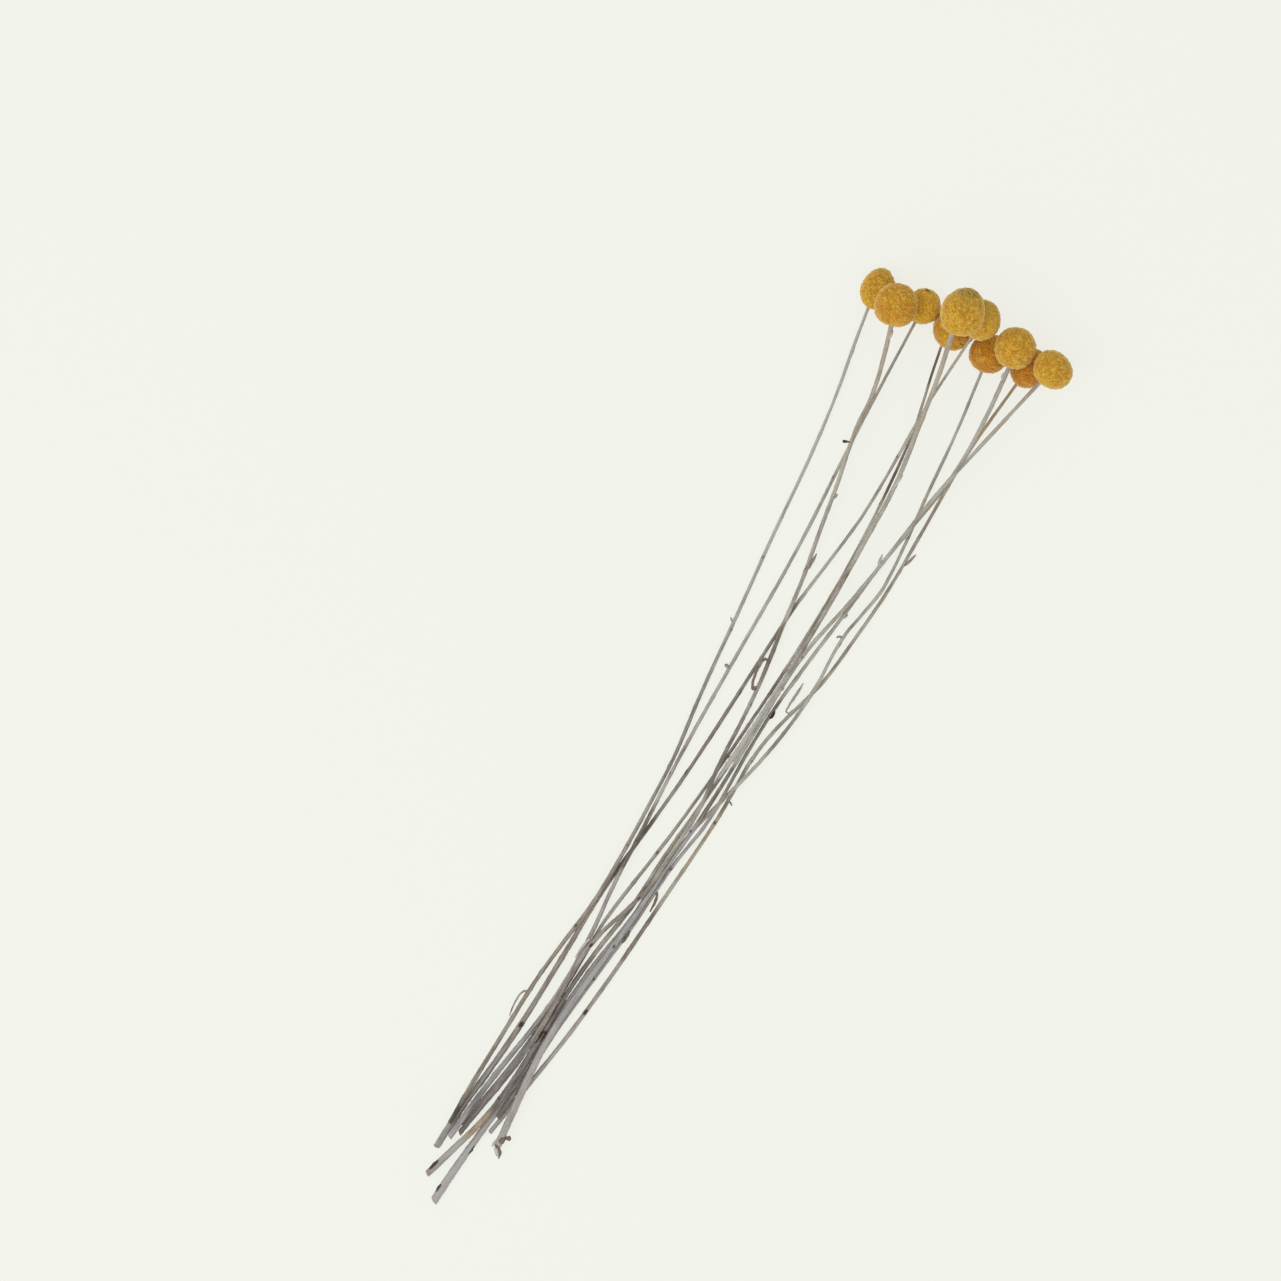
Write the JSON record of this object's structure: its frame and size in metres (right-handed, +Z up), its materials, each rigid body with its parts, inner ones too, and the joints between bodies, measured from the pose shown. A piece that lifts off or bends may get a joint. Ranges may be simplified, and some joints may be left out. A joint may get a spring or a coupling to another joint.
{
  "type": "dried billy button bunch",
  "caption": "Loose bunch of dried billy buttons lying flat: round felted golden flower heads on long stiff bare stems.",
  "frame": {"origin": "centre of the bunch's box, on the surface it lies on", "axes": "+Y along the stems from the cut ends to the heads, +X across the bunch, +Z up from the surface"},
  "size_m": [0.1196, 0.5522, 0.0573],
  "materials": {
    "golden_florets": "matte",
    "grey_stem": "matte",
    "pale_stem": "matte",
    "brown_stem": "matte",
    "ochre_stem": "matte"
  },
  "bodies": {
    "root": {"head_01": "golden_florets", "head_02": "golden_florets", "head_03": "golden_florets", "head_04": "golden_florets", "head_05": "golden_florets", "head_06": "golden_florets", "head_07": "golden_florets", "head_08": "golden_florets", "head_09": "golden_florets", "head_10": "golden_florets", "stem_01": "pale_stem", "stem_02": "grey_stem", "stem_03": "grey_stem", "stem_04": "brown_stem", "stem_05": "brown_stem", "stem_06": "grey_stem", "stem_07": "pale_stem", "stem_08": "pale_stem", "stem_09": "ochre_stem", "stem_10": "pale_stem"}
  },
  "joints": []
}
